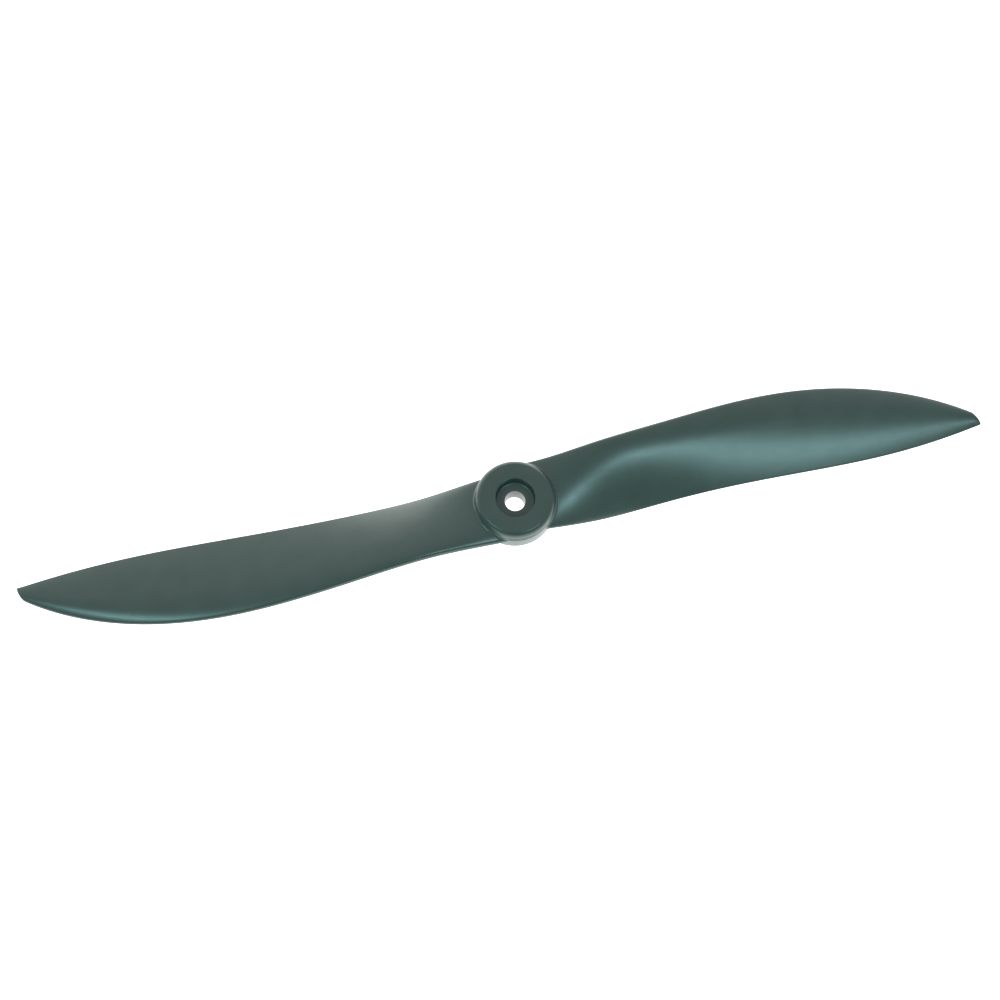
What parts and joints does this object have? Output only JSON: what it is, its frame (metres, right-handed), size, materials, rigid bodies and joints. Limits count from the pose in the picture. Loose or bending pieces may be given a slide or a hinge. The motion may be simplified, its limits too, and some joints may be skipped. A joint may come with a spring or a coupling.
{
  "type": "model aircraft propeller",
  "caption": "Fixed-pitch tractor propeller with swept, twisted blades on a round hub with a counterbore and shaft bore.",
  "frame": {"origin": "on the shaft axis at the hub's back face, which seats on the drive washer", "axes": "+Z along the shaft axis towards the front (flight direction), +X along blade A, +Y the way blade A moves"},
  "size_m": [0.254, 0.0328, 0.012],
  "materials": {
    "moulded_nylon": "satin dark green-grey glass-filled nylon, smooth from the mould"
  },
  "bodies": {
    "root": {"hub": "moulded_nylon", "blade_a": "moulded_nylon", "blade_b": "moulded_nylon"}
  },
  "joints": []
}
